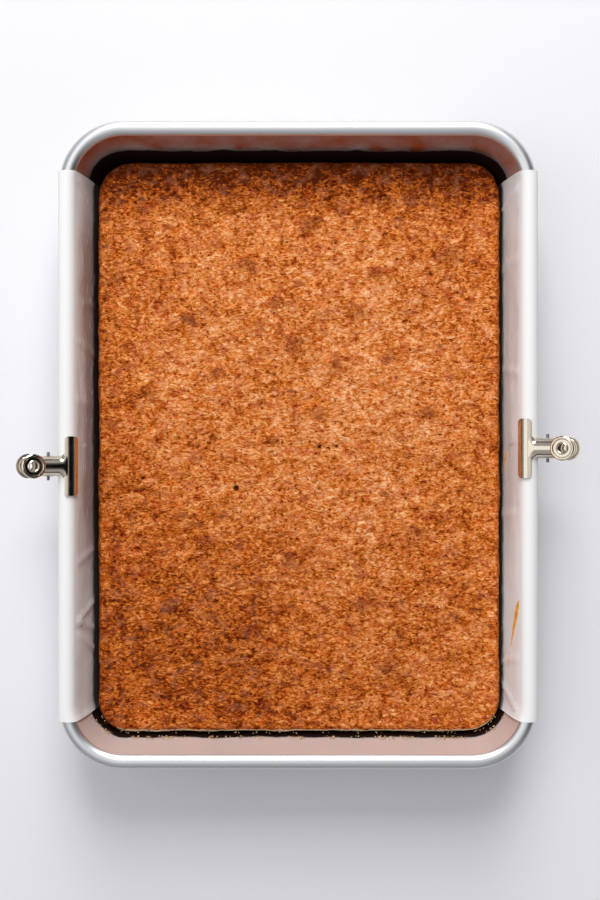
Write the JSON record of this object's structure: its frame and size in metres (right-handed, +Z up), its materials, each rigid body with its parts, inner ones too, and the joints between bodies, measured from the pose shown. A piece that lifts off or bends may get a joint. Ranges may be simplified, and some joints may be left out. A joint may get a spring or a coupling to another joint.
{
  "type": "sheet cake in its baking pan",
  "caption": "Rectangular browned sponge cake in a deep rolled-rim aluminium baking pan, with a parchment sling held to the long rims by spring clips.",
  "frame": {"origin": "middle of the pan's underside, at the bottom centre of the whole object's box", "axes": "+X across the pan to the right-hand clip, +Y along its length, +Z up out of the pan"},
  "size_m": [0.2944, 0.34, 0.0651],
  "materials": {
    "aluminium_pan": "satin pressed sheet, baked-on brown tint inside",
    "baking_paper": "white silicone parchment, slightly glossy where greased",
    "browned_sponge": null,
    "nickel_plate": "bright nickel plate on pressed steel",
    "spring_steel": "drawn steel wire"
  },
  "bodies": {
    "pan_and_cake": {"pan": "aluminium_pan", "parchment": "baking_paper", "cake": "browned_sponge", "left_clip_lower_leaf": "nickel_plate", "left_clip_pin": "spring_steel", "left_clip_spring": "spring_steel", "right_clip_lower_leaf": "nickel_plate", "right_clip_pin": "spring_steel", "right_clip_spring": "spring_steel"},
    "left_clip_jaw": {"left_clip_upper_leaf": "nickel_plate"},
    "right_clip_jaw": {"right_clip_upper_leaf": "nickel_plate"}
  },
  "joints": [
    {"name": "left_clip_hinge", "type": "hinge", "parent": "pan_and_cake", "child": "left_clip_jaw", "pos_m": [-0.1302, -0.011, 0.05202], "axis": [0, -1, 0], "range_deg": [0, 20], "stiffness_Nm_per_rad": 0.005, "springref_deg": -17.19},
    {"name": "right_clip_hinge", "type": "hinge", "parent": "pan_and_cake", "child": "right_clip_jaw", "pos_m": [0.1302, -0.0017, 0.05202], "axis": [0, 1, 0], "range_deg": [0, 20], "stiffness_Nm_per_rad": 0.005, "springref_deg": -17.19}
  ]
}
